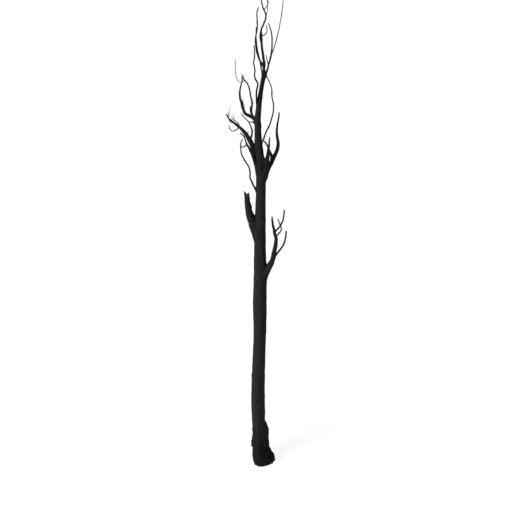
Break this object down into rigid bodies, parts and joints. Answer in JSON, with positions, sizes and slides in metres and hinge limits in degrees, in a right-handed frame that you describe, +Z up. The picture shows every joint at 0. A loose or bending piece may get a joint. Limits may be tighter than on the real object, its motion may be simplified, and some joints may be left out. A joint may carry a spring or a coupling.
{
  "type": "dead tree",
  "caption": "Slender charred dead tree: a tall bare trunk with a root flare, a broken stub, crooked boughs and thin upright limbs, cut flat at ground level.",
  "frame": {"origin": "middle of the flat cut under the trunk, at ground level", "axes": "+Z up, -Y the front that the picture shows, +X to the right seen from the front"},
  "size_m": [1.4336, 1.2074, 12.073],
  "materials": {
    "charred_bark": "matte charred bark, lightly fissured along the grain, darker at the foot",
    "torn_wood": "matte charred bark with dull reddish-brown torn wood at the broken end"
  },
  "bodies": {
    "root": {"trunk": "charred_bark", "low_bough": "charred_bark", "low_bough_outer": "charred_bark", "low_bough_inner": "charred_bark", "low_bough_upper": "charred_bark", "broken_stub": "torn_wood", "left_whip": "charred_bark", "right_bough": "charred_bark", "right_bough_fork": "charred_bark", "right_bough_spur": "charred_bark", "right_whip": "charred_bark", "left_bough": "charred_bark", "left_bough_fork": "charred_bark", "left_bough_thorn": "charred_bark", "left_bough_inner": "charred_bark", "left_bough_tip": "charred_bark", "left_bough_droop": "charred_bark", "left_limb": "charred_bark", "left_limb_arc": "charred_bark", "trunk_link": "charred_bark", "crook": "charred_bark", "crook_eye": "charred_bark", "crook_eye_rim": "charred_bark", "crook_spur": "charred_bark", "crook_twin": "charred_bark", "crook_wisp": "charred_bark", "zigzag": "charred_bark", "leader": "charred_bark", "leader_hook": "charred_bark", "leader_spur": "charred_bark", "leader_right_tip": "charred_bark", "leader_cross_tip": "charred_bark", "tall_left": "charred_bark", "tall_inner": "charred_bark", "fork_right": "charred_bark", "fork_right_outer": "charred_bark", "fork_right_inner": "charred_bark", "back_bough": "charred_bark", "back_bough_fork": "charred_bark", "back_limb": "charred_bark", "front_limb": "charred_bark"}
  },
  "joints": []
}
